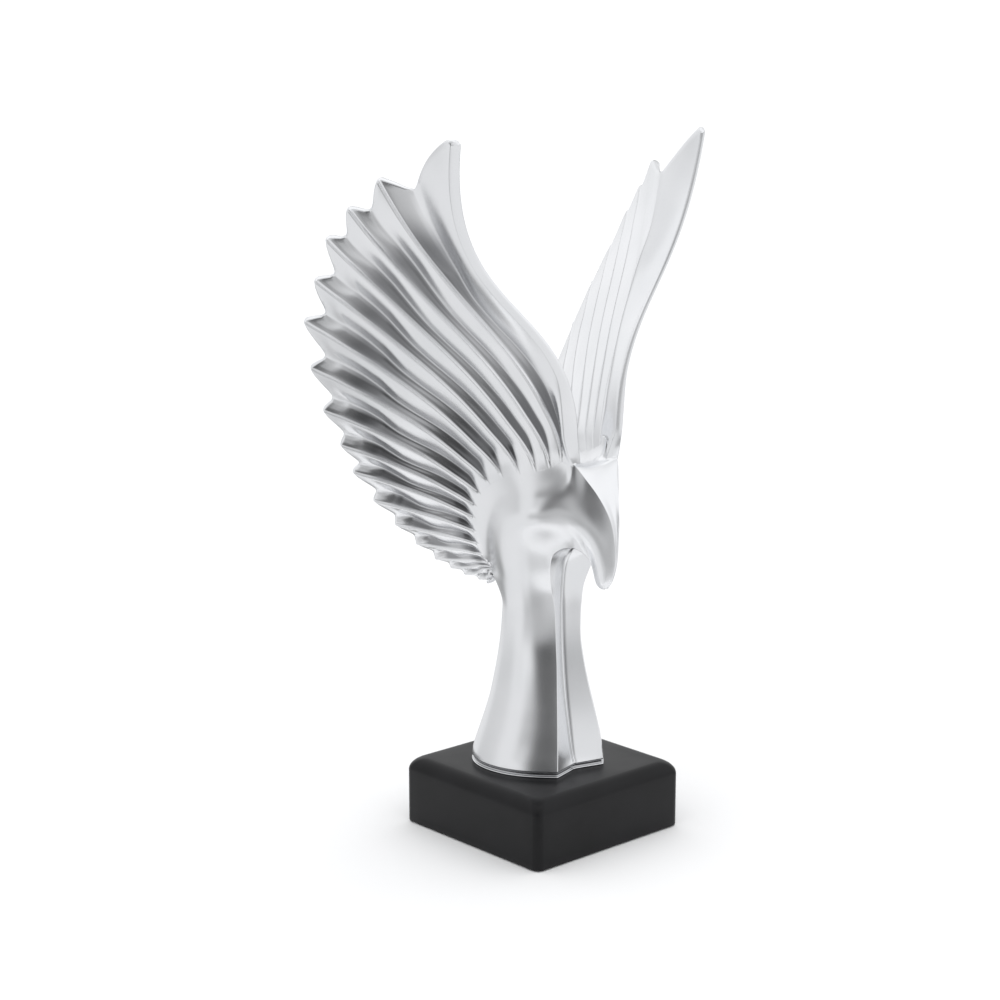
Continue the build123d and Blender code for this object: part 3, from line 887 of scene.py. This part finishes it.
def make_floor():
    bpy.ops.mesh.primitive_plane_add(size=0.27)
    floor = bpy.context.object
    floor.name = "floor"
    material, nodes, links, shader = new_material("white_floor")
    broad = noise_node(nodes, links, 3)
    links.new(colour_between(nodes, links, broad.outputs["Fac"],
                             (0.80, 0.80, 0.80), (0.82, 0.82, 0.82)),
              shader.inputs["Base Color"])
    shader.inputs["Roughness"].default_value = 0.9
    shader.inputs["Specular IOR Level"].default_value = 0.1
    dress(floor, material)


DIFFUSE_STRENGTH = 1.35
CAMERA_STRENGTH = 1.1
# Dim parts of the tent, or brighter ones where the depth is negative: azimuth from the
# front and its half width, elevation and its half height, softness of the edge
# (all in degrees), depth.
TENT_STRENGTH = 0.87
DIM_ZONES = [
    (-52, 16, 9, 22, 15, 0.87),
    (-78, 11, 16, 10, 9, 0.6),
    (-54, 18, -37, 13, 14, 0.28),
    (66, 15, -7, 10, 8, 0.5),
    (-30, 13, -4, 17, 15, 0.5),
    (-70, 26, -24, 9, 14, 0.34),
    (168, 26, -40, 22, 14, 0.6),
    (74, 20, -45, 18, 12, 0.7),
    (-145, 24, 0, 11, 20, 0.2),
    (-40, 30, 45, 16, 22, 0.25),
    (0, 180, -88, 24, 16, 0.4),
    (175, 30, 25, 20, 20, -0.17),
    (50, 35, 25, 25, 25, -0.25),
    (-84, 9, 1, 8, 10, -0.12),
]


def make_world():
    """A pale light tent with dim openings, which give the metal its dark bands."""
    world = bpy.data.worlds.new("tent")
    world.use_nodes = True
    nodes, links = world.node_tree.nodes, world.node_tree.links
    background = nodes["Background"]

    def calculate(operation, *values):
        node = nodes.new("ShaderNodeMath")
        node.operation = operation
        for slot, value in zip(node.inputs, values):
            if isinstance(value, (int, float)):
                slot.default_value = value
            else:
                links.new(value, slot)
        return node.outputs[0]

    def window(offset, half, softness):
        """1 inside the half width, falling smoothly to 0 outside it."""
        ramp = nodes.new("ShaderNodeMapRange")
        ramp.interpolation_type = "SMOOTHSTEP"
        ramp.inputs["From Min"].default_value = math.radians(half + softness / 2)
        ramp.inputs["From Max"].default_value = math.radians(half - softness / 2)
        links.new(calculate("ABSOLUTE", offset), ramp.inputs["Value"])
        return ramp.outputs["Result"]

    place = nodes.new("ShaderNodeTexCoord")
    parts = nodes.new("ShaderNodeSeparateXYZ")
    links.new(place.outputs["Generated"], parts.inputs[0])
    forward = calculate("MULTIPLY", parts.outputs["Y"], -1)
    azimuth = calculate("ARCTAN2", parts.outputs["X"], forward)
    elevation = calculate("ARCSINE", parts.outputs["Z"])
    tent = TENT_STRENGTH
    for turn, half_turn, rise, half_rise, softness, depth in DIM_ZONES:
        aside = calculate("WRAP", calculate("SUBTRACT", azimuth, math.radians(turn)),
                          math.pi, -math.pi)
        above = calculate("SUBTRACT", elevation, math.radians(rise))
        cover = calculate("MULTIPLY", window(aside, half_turn, softness),
                          window(above, half_rise, softness))
        tent = calculate("MULTIPLY", tent, calculate("MULTIPLY_ADD", cover, -depth, 1.0))

    seen = nodes.new("ShaderNodeLightPath")
    diffuse = calculate("MULTIPLY_ADD", seen.outputs["Is Diffuse Ray"], DIFFUSE_STRENGTH, 0.0)
    direct = calculate("MULTIPLY_ADD", seen.outputs["Is Camera Ray"], CAMERA_STRENGTH, diffuse)
    glossy = calculate("MULTIPLY", seen.outputs["Is Glossy Ray"], tent)
    links.new(calculate("ADD", direct, glossy), background.inputs["Strength"])
    background.inputs["Color"].default_value = (0.985, 0.99, 1.0, 1)
    bpy.context.scene.world = world


def area_light(name, location, aim, size, power):
    data = bpy.data.lights.new(name, "AREA")
    data.shape = "RECTANGLE"
    data.size, data.size_y = size
    data.energy = power
    light = bpy.data.objects.new(name, data)
    light.location = location
    way = Vector(aim) - Vector(location)
    light.rotation_euler = way.to_track_quat("-Z", "Y").to_euler()
    bpy.context.scene.collection.objects.link(light)


make_floor()
make_world()
area_light("overhead", (0.1, 0.1, 1.6), (0, 0, 0.15), (1.6, 1.6), 2.2)

camera_data = bpy.data.cameras.new("camera")
camera_data.sensor_width = 36
camera_data.lens = 80.28
camera_data.clip_start = 0.05
camera = bpy.data.objects.new("camera", camera_data)
camera.location = (-0.7511, -0.7957, 0.4114)
camera.rotation_euler = (math.radians(90 - 12.375), 0, math.radians(-42.21))
bpy.context.scene.collection.objects.link(camera)
bpy.context.scene.camera = camera
bpy.context.scene.view_settings.view_transform = "Standard"
